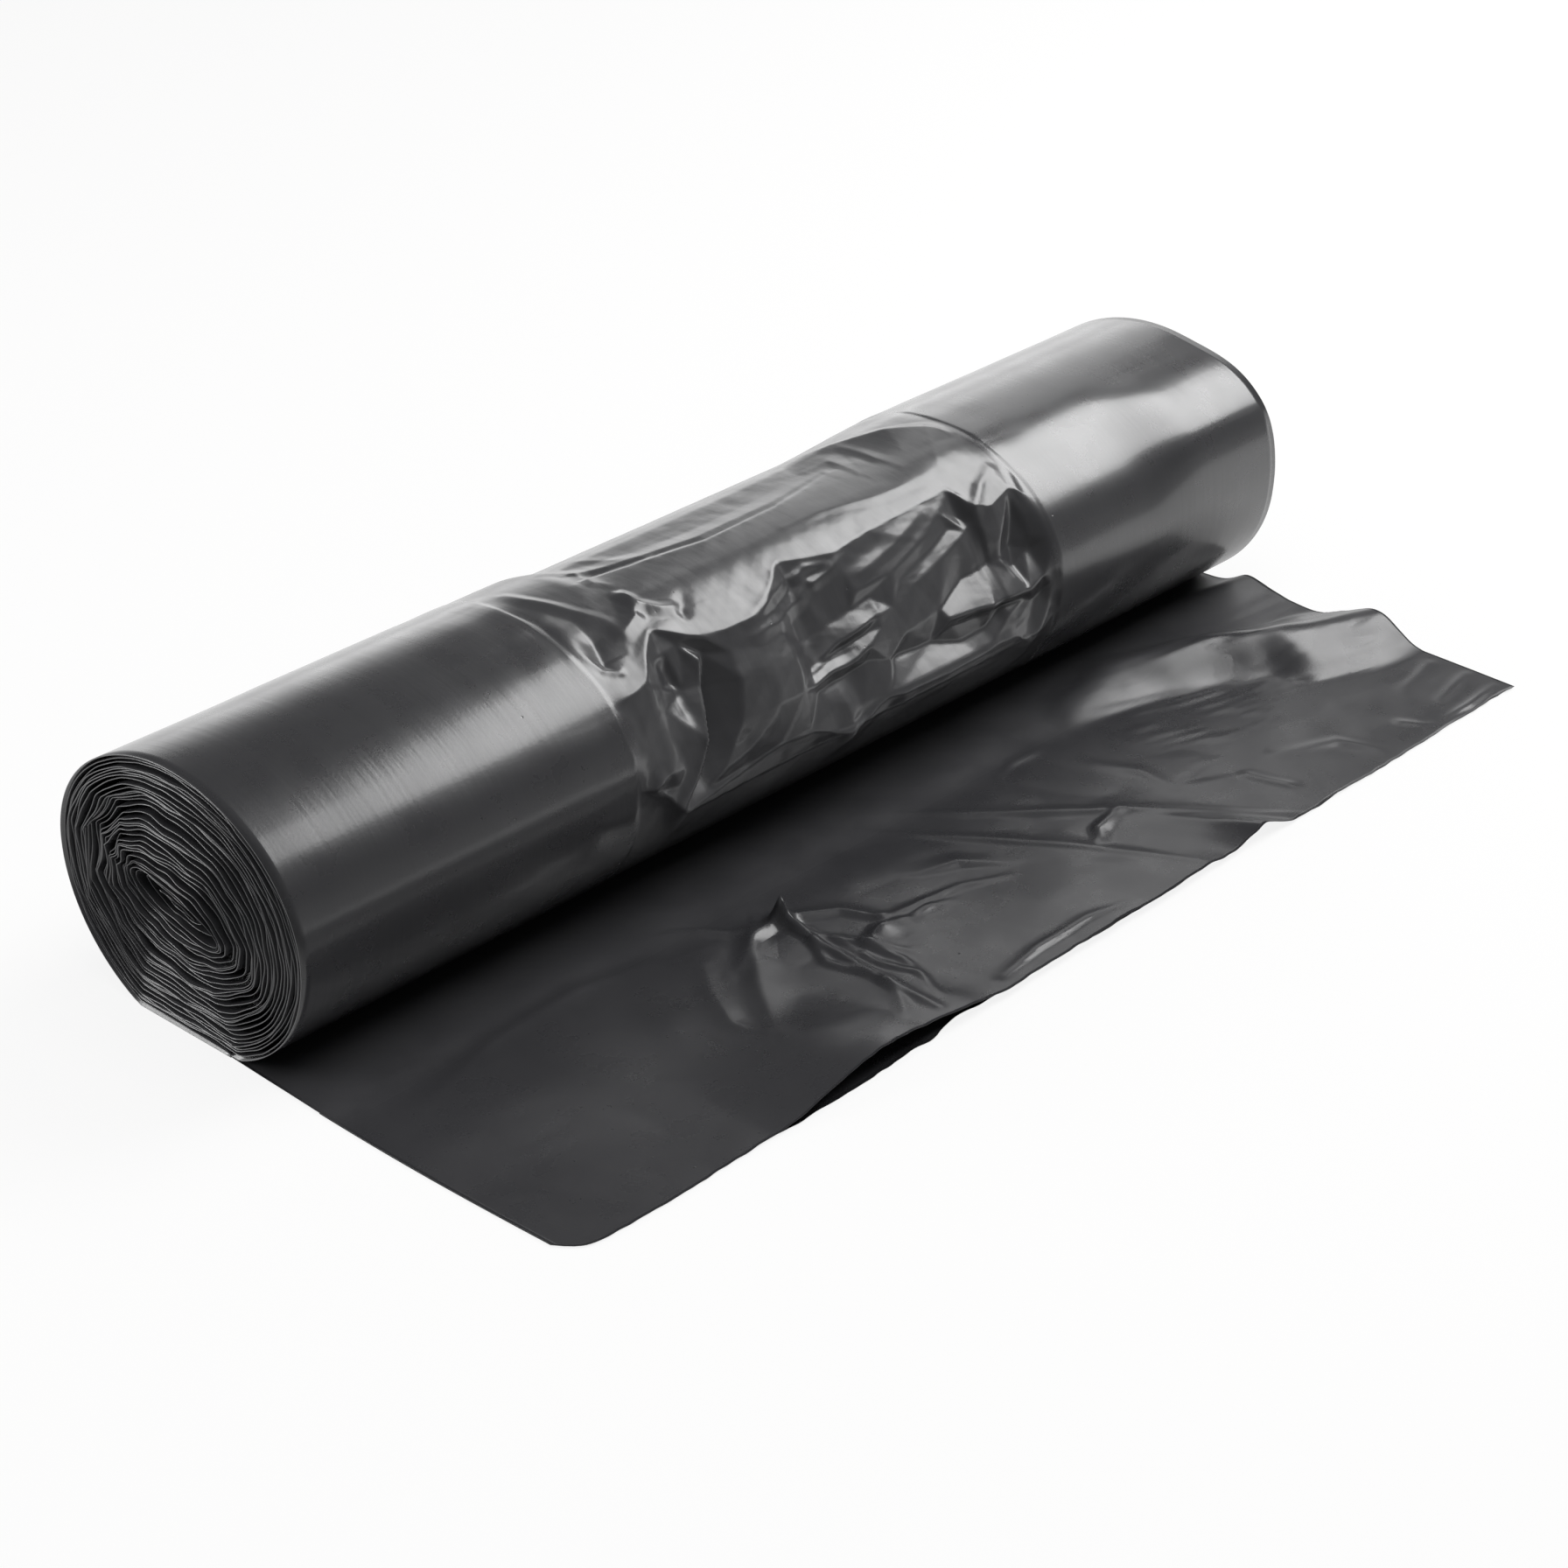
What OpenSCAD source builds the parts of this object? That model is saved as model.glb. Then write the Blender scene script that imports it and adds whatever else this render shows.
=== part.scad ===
// Roll of bin bags: one continuous web of flattened, side-gusseted bags, wound without a tube.
// The roll lies sagged on the floor, and the mouth end of the first bag lies unrolled in front of it.
// X runs along the roll, -Y points to the free sheet, and the origin is the middle of the flat spot.

/* [Roll] */
// Length of the roll, which is the width of the flattened web
roll_length = 457; // [380:1:540]
// Width of the sagged roll at mid-length, from front to back
roll_width = 112; // [96:1:130]
// Height of the sagged roll at mid-length
roll_height = 91; // [80:1:106]
// Width of the flat spot that the roll rests on
flat_width = 48; // [30:1:60]
// How much larger the right end is wound than the left, as a share of its size
end_growth = 0.03; // [0:0.01:0.08]

/* [Turns] */
// Number of turns that show at each end
turns = 16; // [8:1:18]
// How much tighter the outer turns lie than the inner ones
tightness = 0.4; // [0:0.05:0.6]
// Depth of the gaps between the outer turns
tight_gap_depth = 3; // [1:0.5:6]
// Depth of the gaps between the inner turns
loose_gap_depth = 9; // [4:0.5:12]
// How far the inner turns are kinked out of round
kink_depth = 1.2; // [0:0.1:1.6]
// How deep the flats are between the corners at the back of the turns
flat_depth = 2; // [0:0.1:2.4]
// How far the right end is squared out at the top of its front
square_rise = 3.6; // [0:0.2:5]
// How far the edges of the turns lie out of flush
edge_weave = 1; // [0:0.1:2]
// How far the innermost turn lies back from the rim
core_recess = 4; // [0:0.5:8]
// Length of the slit that is left at the crushed centre
slit_length = 40; // [24:1:46]
// Height of that slit
slit_height = 9; // [5:0.5:12]
// Depth of that slit
slit_depth = 32; // [18:1:60]
// Slope of the slit, rising towards the back
slit_slope = 16; // [0:1:22]
// Distance of the slit's middle behind the roll's middle
slit_back = 9; // [0:1:12]
// Height of the slit's middle above the floor
slit_rise = 38; // [34:1:46]

/* [Loose middle] */
// Width of the four-ply band at the left end, which is the depth of the left gusset
left_band = 135; // [110:1:150]
// Width of the four-ply band at the right end
right_band = 121; // [110:1:150]
// How far the two-ply middle sinks below the bands at the top
middle_sink = 2.4; // [1:0.2:5]
// Height of the crest that the loose film falls from in front, as a share of its drawn height
crest_scale = 1; // [0:0.1:2]
// How far the hem of the loose film stands off the roll, as a share of its drawn height
hem_scale = 1; // [0.4:0.1:1.4]
// Height of the gathers in the loose film, as a share of their drawn height
gather_scale = 1; // [0.4:0.1:1.4]

/* [Free sheet] */
// Distance from the roll's middle to the front edge of the free sheet
sheet_reach = 164; // [130:1:200]
// Thickness of the free sheet, with the air between its plies
sheet_thick = 1; // [0.8:0.1:2]
// How far the side edges of the sheet bow outwards
edge_bow = 2; // [0:0.5:5]
// Height of the hump across the right side of the sheet
hump_height = 9; // [3:0.5:12]
// Height of the wave that lifts both plies at the right of the front edge
wave_height = 6; // [3:0.5:10]
// How far the upper ply lifts off the lower one at the mouth
mouth_gap = 8; // [3:0.5:12]
// Distance along the front edge over which the plies part
mouth_width = 96; // [60:1:120]

/* [Hidden] */

film_grey = [0.13, 0.13, 0.14];

// Steps of the mesh: round one turn, along each band, along the middle and across the sheet
turn_steps = 36;
band_steps = 8;
middle_steps = 32;
sheet_steps = 12;
turn_step = 360/turn_steps;

// The web leaves the roll this many steps before the bottom
nip_steps = 2;
nip_angle = 360 - nip_steps*turn_step;

// The plies are open as far back as this row of the sheet
mouth_steps = 4;
ply = 0.4*sheet_thick;
air = sheet_thick - 2*ply;

end_x = roll_length/2;
half_width = roll_width/2;
centre_z = roll_height/2;

// The floor cuts the lower half, so that half is drawn as deeper than it shows
flat_angle = asin(flat_width/roll_width);
lower_depth = centre_z/cos(flat_angle);

// The web starts to wind inwards once it is clear of the flat spot
lead_angle = flat_angle + turn_step;

middle_left = -end_x + left_band;
middle_right = end_x - right_band;
middle_x = (middle_left + middle_right)/2;
middle_half = (middle_right - middle_left)/2;

// Width over which the bands step down to the middle
shoulder = 9;

// The gathers die out over this angle in front of the nip
gather_fade = 40;

// Mean radius of the roll, and millimetres of skin for each degree round it
mean_radius = (half_width + centre_z)/2;
skin_per_degree = mean_radius*PI/180;

// Rows of the mesh that follow the crest and the hem of the loose film, and the rows on either
// side of them from which the others make way
top_step = 17;
crest_step = 22;
hem_step = 28;
fade_step = 32;

// The loose film over the back and the top, up to the crest: degrees round the roll and height
top_line = [
    [90, 0], [140, -middle_sink], [160, -0.4*middle_sink], [172, -0.8*middle_sink],
    [185, -0.3*middle_sink], [196, 0.5], [214, 0.3]
];

// In front the loose film hangs like a curtain from a crest to a hem. Each point is a share of the
// middle's half length, degrees round the roll and a height.
crest = [
    [-1, 232, 0], [-0.91, 231, 0.4], [-0.84, 229, 1], [-0.78, 219, 1], [-0.71, 212, 1.2], [-0.59, 221, 0.6],
    [-0.47, 224, 0.5], [-0.35, 224, 0.5], [-0.22, 218, 0.5], [-0.12, 209, 1], [-0.02, 212, 0.5],
    [0.11, 215, 0.4], [0.29, 213, 0.4], [0.49, 212, 0.5], [0.71, 211, 1], [0.75, 222, 0.6],
    [0.81, 225, 0.4], [0.93, 221, 1.2], [1, 230, 0]
];
hem = [
    [-1, 266, 0], [-0.93, 269, 0.6], [-0.89, 275, 1.6], [-0.85, 281, 4.4], [-0.71, 280, 2.6],
    [-0.54, 278, 1.6], [-0.38, 276, 1.2], [-0.24, 277, 1.8], [-0.15, 280, 3.2], [-0.09, 283, 5.2],
    [-0.01, 282, 3.4], [0.12, 278, 2.2], [0.50, 278, 2], [0.66, 278, 2.4], [0.76, 280, 2.2],
    [0.84, 285, 3.4], [1, 280, 0]
];

// Past the hem the film turns back to the roll over this angle, and it rises to the crest over this one
hem_turn = 26;
crest_turn = 12;

// Gathers in the loose film. Each runs from one place to another, given as a share of the
// middle's half length and degrees round the roll, and then has its half width and its height.
gathers = [
    [[-0.68, 175], [-0.25, 184], 8, 1.2],
    [[-0.25, 184], [0.45, 179], 8, 1],
    [[-0.93, 172], [-0.82, 198], 8, 1.4],
    [[0.52, 165], [0.92, 188], 9, 1.3],
    [[-0.90, 198], [-0.96, 218], 8, 2.2],
    [[-0.71, 214], [-0.70, 238], 8, 2],
    [[-0.64, 236], [-0.77, 284], 9, 2.5],
    [[-0.53, 230], [-0.70, 278], 11, -3.8],
    [[-0.33, 232], [-0.34, 262], 13, 2],
    [[-0.16, 230], [-0.16, 258], 8, -2],
    [[-0.10, 262], [0.07, 254], 8, 1.8],
    [[0.15, 238], [0.62, 222], 8, 1.3],
    [[0.40, 240], [0.75, 228], 9, 1.6],
    [[0.46, 261], [0.84, 262], 9, 2.6],
    [[0.45, 269], [0.66, 275], 8, -1.6],
    [[0.90, 232], [0.84, 252], 9, -3],
    [[0.95, 244], [0.93, 276], 8, 1.8],
    [[-1, 252], [-0.94, 268], 8, 1.4]
];

// Flats at the back of the inner turns, each from one corner to the next, with its share of the depth
flats = [[38, 70, 0.9], [70, 104, 1.1], [104, 131, 0.8]];

// Where the right end is squared out: place round the roll, spread, and distance along the roll
square_place = 221;
square_spread = 30;
square_length = 78;

// Ridges in the free sheet. Each runs from one place to another, given as shares of the roll's
// half length and of the sheet's reach, and then has its half width and its height at either end.
ridges = [
    [[0.50, 0.36], [1.00, 0.65], 26, 1, hump_height],
    [[0.80, 0.20], [1.00, 0.30], 16, 2, 5],
    [[0.36, 1.00], [0.06, 0.44], 20, wave_height, 0],
    [[-0.50, 0.78], [-0.32, 0.48], 15, 3, 4],
    [[-0.41, 1.00], [-0.34, 0.86], 14, 4, 1]
];

// Place of the open mouth along the front edge
mouth_x = -0.45*end_x;

function mix(a, b, t) = a + (b - a)*t;
function share(v, low, high) = max(0, min(1, (v - low)/(high - low)));
function ramp(v, low, high) = let (t = share(v, low, high)) t*t*(3 - 2*t);
function bump(d) = abs(d) < 1 ? pow(1 - d*d, 2) : 0;
function total(v, i = 0) = i < len(v) ? v[i] + total(v, i + 1) : 0;

// Place of p along the line from a to b, as a share kept between 0 and 1
function along(p, a, b) = let (d = b - a) share((p - a)*d, 0, d*d);

// A bump that runs along the line from a to b
function fold(p, a, b, width) = bump(norm(p - mix(a, b, along(p, a, b)))/width);

// The outline of the outermost turn, [y, z], with 0 at the bottom, 90 at the back and 180 at the top
function outer_point(angle) = [
    half_width*sin(angle),
    max(0, centre_z - (cos(angle) > 0 ? lower_depth : centre_z)*cos(angle))
];

// The outline of the slit at the crushed centre, [y, z]
function slit_point(angle) =
    let (y = slit_length/2*sin(angle), z = -slit_height/2*cos(angle))
    [slit_back + y*cos(slit_slope) - z*sin(slit_slope), slit_rise + y*sin(slit_slope) + z*cos(slit_slope)];

// Share of the way in to the slit, after winding through an angle
function inward(angle) =
    let (t = max(0, angle - lead_angle)/(360*turns - lead_angle)) t*(1 - tightness + tightness*t);

// How far a turn is pushed out of round, at an angle and a share of the way in
function kink(angle, t) =
    kink_depth*ramp(t, 0.1, 0.45)*ramp(t, 1, 0.8)*(2*sin(5*angle + 160*t) + sin(8*angle - 250*t))/3;

// How far a turn lies inside its round between the corners at the back
function flattened(angle, t) =
    let (a = angle - 360*floor(angle/360))
    flat_depth*ramp(t, 0, 0.3)*ramp(t, 1, 0.55)*total([
        for (f = flats) let (u = share(a, f[0], f[1])) f[2]*4*u*(1 - u)
    ]);

// How far the right end is squared out
function squared(x, angle, t) =
    let (a = angle - 360*floor(angle/360))
    square_rise*pow(1 - t, 2)*bump((a - square_place)/square_spread)
        *ramp(x, end_x - square_length, end_x - 14);

// A point of the wound web at a place along the roll. The gap counts turns inwards from it.
function wound_point(x, angle, gap = 0) =
    let (t = inward(angle + 360*gap), p = mix(outer_point(angle), slit_point(angle), t),
         d = p - [slit_back, slit_rise])
    p + d/norm(d)*(kink(angle, t) - flattened(angle, t) + squared(x, angle, t));

// The section grows from the left end to the right
function placed(x, p) = let (k = 1 + end_growth*x/roll_length) [x, k*p[0], k*p[1]];

// Height of the gathers at a place on the skin
function gathered(x, angle) = total([
    for (g = gathers)
        g[3]*fold([x, angle*skin_per_degree],
            [middle_x + g[0][0]*middle_half, g[0][1]*skin_per_degree],
            [middle_x + g[1][0]*middle_half, g[1][1]*skin_per_degree], g[2])
]);

// How loose the film is along the roll: 0 in the bands and 1 in the middle
function loose(x) =
    ramp(x, middle_left, middle_left + shoulder)*ramp(x, middle_right, middle_right - shoulder);

// Column k of a line of points, at a place along the roll
function line_value(line, x, k) = lookup((x - middle_x)/middle_half, [for (p = line) [p[0], p[k]]]);

// Distance from the roll's axis to a straight line between two places round it
function chord(angle, a, radius_a, b, radius_b) =
    radius_a*radius_b*sin(b - a)/(radius_a*sin(angle - a) + radius_b*sin(b - angle));

// Height of the curtain, from the crest to the hem
function curtain(x, angle) =
    let (a = line_value(crest, x, 1), b = line_value(hem, x, 1),
         radius_a = mean_radius + crest_scale*line_value(crest, x, 2),
         radius_b = mean_radius + hem_scale*line_value(hem, x, 2))
    chord(max(a, min(b, angle)), a, radius_a, b, radius_b) - mean_radius;

// Height of the loose film above the tight roll, without its gathers
function draped(x, angle) =
    let (a = line_value(crest, x, 1), b = line_value(hem, x, 1))
    angle > b ? curtain(x, b)*(1 - ramp(angle, b, b + hem_turn)) :
    angle > a ? curtain(x, angle) :
    mix(lookup(angle, top_line), curtain(x, a), pow(ramp(angle, a - crest_turn, a), 2));

// Height of the outermost film above the tight roll
function skin_lift(x, angle) = loose(x)*(
    draped(x, angle) + gather_scale*gathered(x, angle)*ramp(angle, nip_angle, nip_angle - gather_fade));

// Place round the roll of a row of the mesh, which bends to follow the crest and the hem
function row_angle(x, i) =
    let (a = line_value(crest, x, 1), b = line_value(hem, x, 1),
         bent = lookup(i, [[top_step, top_step*turn_step], [crest_step, a], [hem_step, b],
                           [fade_step, fade_step*turn_step]]))
    i <= top_step || i >= fade_step ? i*turn_step : mix(i*turn_step, bent, loose(x));

// A point of the roll's skin, lifted away from the roll's middle
function skin_point(x, i) =
    let (angle = row_angle(x, i), p = wound_point(x, angle), d = p - [0, centre_z],
         q = p + d/norm(d)*skin_lift(x, angle))
    placed(x, [q[0], max(0, q[1])]);

// The free sheet: its plan, and the heights of its surfaces
nip_y = wound_point(0, -nip_steps*turn_step)[0];
nip_z = wound_point(0, nip_angle)[1];
nip_blend = 30;
function sheet_y(j) = mix(-sheet_reach, nip_y, j/sheet_steps);
function rise(x, y) = ramp(y, nip_y, nip_y - nip_blend)*total([
    for (r = ridges)
        let (a = [r[0][0]*end_x, -r[0][1]*sheet_reach], b = [r[1][0]*end_x, -r[1][1]*sheet_reach])
        mix(r[3], r[4], along([x, y], a, b))*fold([x, y], a, b, r[2])
]);
function parted(x, y) =
    mouth_gap*bump((x - mouth_x)/(mouth_width/2))*ramp(y, sheet_y(mouth_steps), -sheet_reach);
function thickness(y) = mix(sheet_thick, nip_z, ramp(y, nip_y - nip_blend, nip_y));
function sheet_point(x, j, z) =
    [x + edge_bow*pow(x/end_x, 3)*sin(180*j/sheet_steps), sheet_y(j), rise(x, sheet_y(j)) + z];

function under_point(x, j) = sheet_point(x, j, 0);
function lower_ply_point(x, j) = sheet_point(x, j, ply);
function upper_ply_point(x, j) = sheet_point(x, j, ply + air + parted(x, sheet_y(j)));
function over_point(x, j) = sheet_point(x, j, thickness(sheet_y(j)) + parted(x, sheet_y(j)));
function seam_point(x) = sheet_point(x, mouth_steps, sheet_thick/2);

// An edge of the wound web at one end, the bottom of the gap inside it, and the wall of the slit
function recess(angle) = ramp(inward(angle), 0, 1)*core_recess
    + edge_weave*ramp(angle, nip_angle, nip_angle + 90)*(1 + sin(2.7*angle))/2;
function end_point(side, angle, depth, p) = placed(side*(end_x - recess(angle) - depth), p);
function gap_depth(angle) =
    mix(tight_gap_depth, loose_gap_depth, inward(angle))*ramp(angle, -nip_steps*turn_step, lead_angle);
function edge_point(side, angle) = end_point(side, angle, 0, wound_point(side*end_x, angle));
function gap_point(side, angle) =
    end_point(side, angle, gap_depth(angle), wound_point(side*end_x, angle, 0.5));
function slit_wall_point(side, angle) = placed(side*(end_x - slit_depth), slit_point(angle));

stations = [
    for (i = [0:band_steps - 1]) mix(-end_x, middle_left, i/band_steps),
    for (i = [0:middle_steps]) mix(middle_left, middle_right, i/middle_steps),
    for (i = [1:band_steps]) mix(middle_right, end_x, i/band_steps)
];
columns = len(stations);
last = columns - 1;

// Numbers of the mesh's points, block by block
first_step = -nip_steps;
last_skin_step = turn_steps - nip_steps;
last_edge_step = turn_steps*turns;
last_gap_step = turn_steps*(turns - 1);
skin_rows = sheet_steps + turn_steps + 1;
over_start = skin_rows*columns;
lower_start = over_start + sheet_steps*columns;
upper_start = lower_start + mouth_steps*columns;
seam_start = upper_start + mouth_steps*columns;
ends_start = seam_start + columns;
edge_count = last_edge_step - last_skin_step;
gap_count = last_gap_step - first_step + 1;
end_count = edge_count + gap_count + turn_steps + 1;

function skin_index(c, row) = row*columns + c;
function over_index(c, j) = j < sheet_steps ? over_start + j*columns + c : skin_index(c, skin_rows - 1);
function lower_index(c, j) = j < mouth_steps ? lower_start + j*columns + c : seam_start + c;
function upper_index(c, j) = j < mouth_steps ? upper_start + j*columns + c : seam_start + c;
function edge_index(e, i) =
    i <= last_skin_step ? skin_index(e*last, sheet_steps + i - first_step)
                        : ends_start + e*end_count + i - last_skin_step - 1;
function gap_index(e, i) = ends_start + e*end_count + edge_count + i - first_step;
function wall_index(e, i) = ends_start + e*end_count + edge_count + gap_count + i % turn_steps;
function centre_index(e) = ends_start + e*end_count + end_count - 1;

function quad(a, b, c, d) = [[a, b, c], [a, c, d]];
function joined(lists) = [for (list = lists) for (item = list) item];
function turned_over(faces) = [for (face = faces) [face[2], face[1], face[0]]];

points = joined([
    [for (j = [0:sheet_steps - 1], x = stations) under_point(x, j)],
    [for (i = [first_step:last_skin_step], x = stations) skin_point(x, i)],
    [for (j = [0:sheet_steps - 1], x = stations) over_point(x, j)],
    [for (j = [0:mouth_steps - 1], x = stations) lower_ply_point(x, j)],
    [for (j = [0:mouth_steps - 1], x = stations) upper_ply_point(x, j)],
    [for (x = stations) seam_point(x)],
    for (side = [-1, 1]) joined([
        [for (i = [last_skin_step + 1:last_edge_step]) edge_point(side, i*turn_step)],
        [for (i = [first_step:last_gap_step]) gap_point(side, i*turn_step)],
        [for (i = [0:turn_steps - 1]) slit_wall_point(side, i*turn_step)],
        [placed(side*(end_x - slit_depth), [slit_back, slit_rise])]
    ])
]);

skin_faces = joined([for (row = [0:skin_rows - 2], c = [0:last - 1])
    quad(skin_index(c, row), skin_index(c + 1, row), skin_index(c + 1, row + 1), skin_index(c, row + 1))]);
over_faces = joined([for (j = [0:sheet_steps - 1], c = [0:last - 1])
    quad(over_index(c, j), over_index(c, j + 1), over_index(c + 1, j + 1), over_index(c + 1, j))]);

// The inside of the mouth, and the front edges of its two plies
mouth_faces = joined([
    for (c = [0:last - 1]) joined([
        for (j = [0:mouth_steps - 1]) joined([
            quad(lower_index(c, j), lower_index(c, j + 1), lower_index(c + 1, j + 1), lower_index(c + 1, j)),
            quad(upper_index(c, j), upper_index(c + 1, j), upper_index(c + 1, j + 1), upper_index(c, j + 1))
        ]),
        quad(skin_index(c, 0), lower_index(c, 0), lower_index(c + 1, 0), skin_index(c + 1, 0)),
        quad(upper_index(c, 0), over_index(c, 0), over_index(c + 1, 0), upper_index(c + 1, 0))
    ])
]);

// The side edge of the free sheet at end e, from the mouth to the nip
function side_faces(e) = let (c = e*last, m = mouth_steps, n = sheet_steps - 1) joined([
    for (j = [0:m - 1]) joined([
        quad(skin_index(c, j), skin_index(c, j + 1), lower_index(c, j + 1), lower_index(c, j)),
        quad(upper_index(c, j), upper_index(c, j + 1), over_index(c, j + 1), over_index(c, j))
    ]),
    [[skin_index(c, m), skin_index(c, m + 1), lower_index(c, m)],
     [lower_index(c, m), skin_index(c, m + 1), over_index(c, m + 1)],
     [lower_index(c, m), over_index(c, m + 1), over_index(c, m)]],
    for (j = [m + 1:n - 1])
        quad(skin_index(c, j), skin_index(c, j + 1), over_index(c, j + 1), over_index(c, j)),
    [[skin_index(c, n), edge_index(e, first_step), gap_index(e, first_step)],
     [skin_index(c, n), gap_index(e, first_step), over_index(c, n)],
     [over_index(c, n), gap_index(e, first_step), edge_index(e, last_skin_step)]]
]);

// The wound turns at end e: a gap between each turn and the next, and the slit at the centre
function turn_faces(e) = joined([
    for (i = [first_step:last_gap_step - 1]) joined([
        quad(edge_index(e, i), edge_index(e, i + 1), gap_index(e, i + 1), gap_index(e, i)),
        quad(gap_index(e, i), gap_index(e, i + 1),
            edge_index(e, i + turn_steps + 1), edge_index(e, i + turn_steps))
    ]),
    for (i = [last_gap_step:last_edge_step - 1]) joined([
        quad(edge_index(e, i), edge_index(e, i + 1), wall_index(e, i + 1), wall_index(e, i)),
        [[wall_index(e, i), wall_index(e, i + 1), centre_index(e)]]
    ]),
    [[gap_index(e, last_gap_step), edge_index(e, last_gap_step), wall_index(e, 0)],
     [edge_index(e, last_edge_step), gap_index(e, last_gap_step), wall_index(e, 0)]]
]);

module bag_roll() {
    left_end = joined([side_faces(0), turn_faces(0)]);
    right_end = turned_over(joined([side_faces(1), turn_faces(1)]));
    faces = joined([skin_faces, over_faces, mouth_faces, left_end, right_end]);
    color(film_grey) polyhedron(points, faces, convexity = 10);
}

bag_roll();
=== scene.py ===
"""Looks of the bin bag roll: creased film over its frame, thin turns at both ends, and the free sheet."""

import math

import bpy
import numpy as np
from mathutils import Matrix, Vector
from mathutils.geometry import delaunay_2d_cdt


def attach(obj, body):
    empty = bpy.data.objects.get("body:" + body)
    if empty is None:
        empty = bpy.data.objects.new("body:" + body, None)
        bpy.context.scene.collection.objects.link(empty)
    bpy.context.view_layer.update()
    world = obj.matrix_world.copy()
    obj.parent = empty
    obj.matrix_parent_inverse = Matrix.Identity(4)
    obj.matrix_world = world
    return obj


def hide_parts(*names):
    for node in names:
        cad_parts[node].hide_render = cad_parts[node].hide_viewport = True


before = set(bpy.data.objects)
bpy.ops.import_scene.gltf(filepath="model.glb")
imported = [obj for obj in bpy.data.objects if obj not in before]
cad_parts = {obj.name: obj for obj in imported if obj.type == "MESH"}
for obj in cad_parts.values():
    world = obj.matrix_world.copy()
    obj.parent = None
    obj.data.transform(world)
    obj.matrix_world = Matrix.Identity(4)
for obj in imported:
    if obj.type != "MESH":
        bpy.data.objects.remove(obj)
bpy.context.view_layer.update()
cad_node = "bag_roll"

# Sizes, in millimetres and degrees, as in the frame

# One millimetre in the scene's unit
MM = 0.001
# The roll: its ends, its outermost turn, and the flat spot that it rests on
END_X = 228.5
HALF_WIDTH = 56.0
CENTRE_Z = 45.5
FLAT_WIDTH = 48.0
END_GROWTH = 0.03
# The turns lie closer together outside than inside, and the last one goes round a slit
TIGHTNESS = 0.4
SLIT_LENGTH, SLIT_HEIGHT, SLIT_SLOPE = 40.0, 9.0, 16.0
SLIT_CENTRE = np.array([9.0, 38.0])
CORE_RECESS = 4.0
# The loose middle lies between these two rings
MIDDLE_LEFT, MIDDLE_RIGHT = -93.5, 107.5
# The free sheet, from the middle of the roll to its front edge, and where it leaves the roll
SHEET_REACH = 164.0
EDGE_BOW = 2.0
NIP_ANGLE = 20.0

FILM = 0.15
FINE_TURNS = 30
# Way round the roll for each degree
SKIN_PER_DEGREE = (HALF_WIDTH + CENTRE_Z) / 2 * math.pi / 180
# The flat spot ends at the first of these angles, and the web winds inwards from the second one on.
# Without the floor, the section would reach down this far under its middle.
FLAT_ANGLE = math.degrees(math.asin(FLAT_WIDTH / 2 / HALF_WIDTH))
LEAD_ANGLE = FLAT_ANGLE + 10
LOWER_DEPTH = CENTRE_Z / math.cos(math.radians(FLAT_ANGLE))


# Small maths


def share(v, low, high):
    """How far v has come from low to high, between 0 and 1."""
    return np.clip((v - low) / (high - low), 0.0, 1.0)


def ramp(v, low, high):
    """The same, with soft ends."""
    t = share(v, low, high)
    return t * t * (3 - 2 * t)


def bump(d):
    """1 at 0, and falling softly to 0 at -1 and 1."""
    return np.clip(1 - d * d, 0, None) ** 2


def sind(a):
    return np.sin(np.radians(a))


def cosd(a):
    return np.cos(np.radians(a))


NOISE_CELLS = 64
CREASE_SETS = 4


def noise(u, v, seed):
    """Smooth gradient noise of two arrays, between about -1 and 1."""
    rng = np.random.default_rng(seed)
    turn = rng.random((NOISE_CELLS, NOISE_CELLS)) * 2 * math.pi
    gx, gy = np.cos(turn), np.sin(turn)
    iu, iv = np.floor(u).astype(int), np.floor(v).astype(int)
    fu, fv = u - iu, v - iv
    su, sv = fu**3 * (fu * (fu * 6 - 15) + 10), fv**3 * (fv * (fv * 6 - 15) + 10)

    def corner(du, dv):
        a, b = (iu + du) % NOISE_CELLS, (iv + dv) % NOISE_CELLS
        return gx[a, b] * (fu - du) + gy[a, b] * (fv - dv)

    low = corner(0, 0) * (1 - su) + corner(1, 0) * su
    high = corner(0, 1) * (1 - su) + corner(1, 1) * su
    return (low * (1 - sv) + high * sv) * 1.5


def noise_line(u, row, seed):
    """Smooth noise of one array, taken along one row of the noise."""
    return noise(u, u * 0 + row, seed)


def facets(u, v, size, seed):
    """Flat facets between sharp creases, as of crumpled film, between about -1 and 1."""
    rng = np.random.default_rng(seed)
    out = np.zeros(u.shape)
    for k in range(CREASE_SETS):
        way = math.pi * (k + 0.7 * rng.random()) / CREASE_SETS
        length = size * (0.7 + 0.8 * rng.random())
        bent, parted = 3.1 * size, 2.3 * size
        bend = 0.22 * noise(u / bent + k * 5.3, v / bent + k * 2.7, seed + 100 + k)
        w = np.mod((u * math.cos(way) + v * math.sin(way)) / length + bend + rng.random(), 1)
        crest = 0.5 - np.sqrt((w - 0.5) ** 2 + 0.0009)
        part = ramp(noise(u / parted + k * 3.1, v / parted + k * 7.9, seed + 200 + k), -0.25, 0.35)
        out += part * (2 * crest - 0.5) / math.sqrt(CREASE_SETS)
    return out


def rounded(place, points, offsets, column=1):
    """Value at a place along a line of points, averaged over the offsets to round its corners off."""
    places = [p[0] for p in points]
    values = [p[column] for p in points]
    return sum(np.interp(place + d, places, values) for d in offsets) / len(offsets)


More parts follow.
